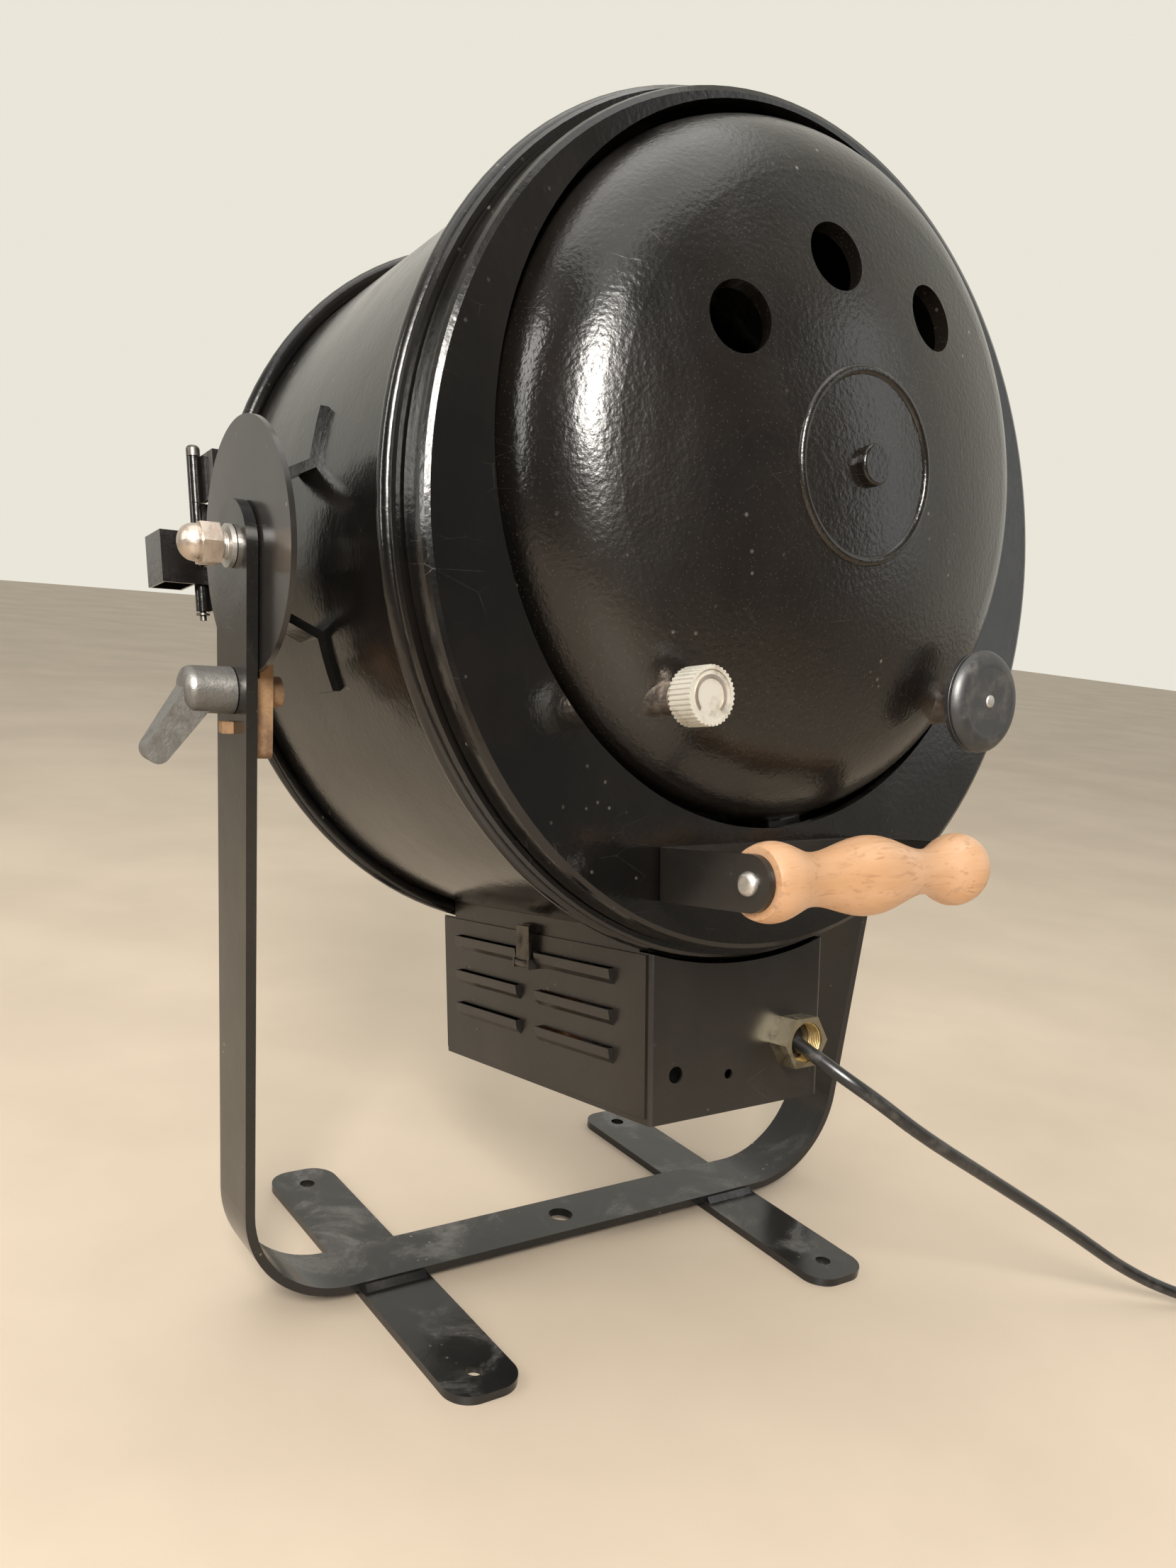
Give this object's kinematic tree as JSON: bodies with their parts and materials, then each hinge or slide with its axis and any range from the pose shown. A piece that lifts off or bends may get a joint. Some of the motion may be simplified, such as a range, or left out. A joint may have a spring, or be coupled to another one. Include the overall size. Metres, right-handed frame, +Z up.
{
  "type": "beam projector",
  "caption": "Theatre spotlight: black drum with a domed back and wooden handle, transformer box below, hung in a flat-bar floor yoke",
  "frame": {"origin": "on the floor, centre of the four foot screw holes", "axes": "+Z up, light towards -Y, +X the clamp side"},
  "size_m": [0.7705, 0.6559, 0.6895],
  "materials": {
    "gloss_black": "gloss",
    "dome_black": "satin",
    "box_black": "satin",
    "stand_black": "satin",
    "disc_grey": "satin",
    "wood": "satin",
    "nickel": "satin",
    "cast_grey": "matte",
    "rust": "matte",
    "steel": "satin",
    "black_plastic": "matte",
    "pale_plastic": "satin",
    "mirror": "gloss",
    "glass": "gloss",
    "brass": "satin",
    "ceramic": "satin",
    "copper": "satin",
    "cable": "satin",
    "core": "satin"
  },
  "bodies": {
    "stand": {"yoke": "stand_black", "foot_left": "stand_black", "foot_right": "stand_black", "foot_welds": "stand_black", "clamp_jaw": "rust", "clamp_stud": "steel", "clamp_pin": "rust"},
    "lever": {"clamp_lever": "cast_grey"},
    "head": {"drum_shell": "gloss_black", "rear_ring": "gloss_black", "dome": "dome_black", "dome_brackets": "steel", "handle_bracket": "box_black", "bracket_rivets": "steel", "handle_bolt": "steel", "strap_brackets": "gloss_black", "friction_disc": "disc_grey", "pivot_spacer": "steel", "pivot_bolts": "steel", "spring_washers": "steel", "acorn_nuts": "nickel", "mirror_dish": "mirror", "mirror_hoop": "steel", "mirror_clips": "steel", "bridge": "steel", "guide_rods": "steel", "control_bushes": "nickel", "rotary_switch": "black_plastic", "hinge_leaf": "gloss_black", "hinge_pin": "nickel", "front_loop": "gloss_black", "front_clip": "steel", "box_body": "box_black", "side_panel": "box_black", "latch_base": "nickel", "transformer_core": "core", "transformer_coil": "copper", "terminal_block": "ceramic", "lead_sleeve": "cable", "cable_gland": "nickel", "gland_locknut": "brass", "gland_seal": "cable", "mains_cable": "cable", "cable_coil": "cable", "mains_plug": "black_plastic"},
    "grip": {"handle_grip": "wood"},
    "carriage": {"lamp_carriage": "steel", "lamp_holder": "steel", "lamp_socket": "ceramic", "lamp_cap": "brass", "lamp_bulb": "glass", "lamp_shield": "steel"},
    "focus": {"focus_knob": "black_plastic", "lead_screw": "steel"},
    "trim": {"trim_knob": "pale_plastic", "trim_shaft": "steel"},
    "door": {"door_ring": "gloss_black", "door_leaf": "gloss_black", "spill_rings": "box_black"},
    "latch": {"latch_lever": "nickel"}
  },
  "joints": [
    {"name": "head_tilt", "type": "hinge", "parent": "stand", "child": "head", "pos_m": [0, 0, 0.454], "axis": [1, 0, 0], "range_deg": [-20, 20]},
    {"name": "lever_turn", "type": "hinge", "parent": "stand", "child": "lever", "pos_m": [0.25, 0, 0.383], "axis": [1, 0, 0], "range_deg": [0, 60]},
    {"name": "grip_spin", "type": "hinge", "parent": "head", "child": "grip", "pos_m": [0, 0.23152, 0.32728], "axis": [1, 0, 0], "continuous": true},
    {"name": "focus_turn", "type": "hinge", "parent": "head", "child": "focus", "pos_m": [-0.0998, 0.20031, 0.41215], "axis": [0, 0.9848, 0.1736], "range_deg": [-720, 720]},
    {"name": "lamp_slide", "type": "slide", "parent": "head", "child": "carriage", "axis": [0, 0.9848, 0.1736], "range_m": [-0.0079, 0.0079]},
    {"name": "trim_turn", "type": "hinge", "parent": "head", "child": "trim", "pos_m": [0.0998, 0.20083, 0.40919], "axis": [0, 0.9848, 0.1736], "range_deg": [0, 90]},
    {"name": "door_swing", "type": "hinge", "parent": "head", "child": "door", "pos_m": [0.2253, -0.1286, 0.45772], "axis": [0, -0.1736, 0.9848], "range_deg": [0, 90]},
    {"name": "latch_open", "type": "hinge", "parent": "head", "child": "latch", "pos_m": [0.0712, 0.03027, 0.22477], "axis": [0, 0.9848, 0.1736], "range_deg": [0, 120]}
  ],
  "couplings": [
    {"joint": "focus_turn", "follows": "lamp_slide", "rad_per_m": 1570.8}
  ]
}
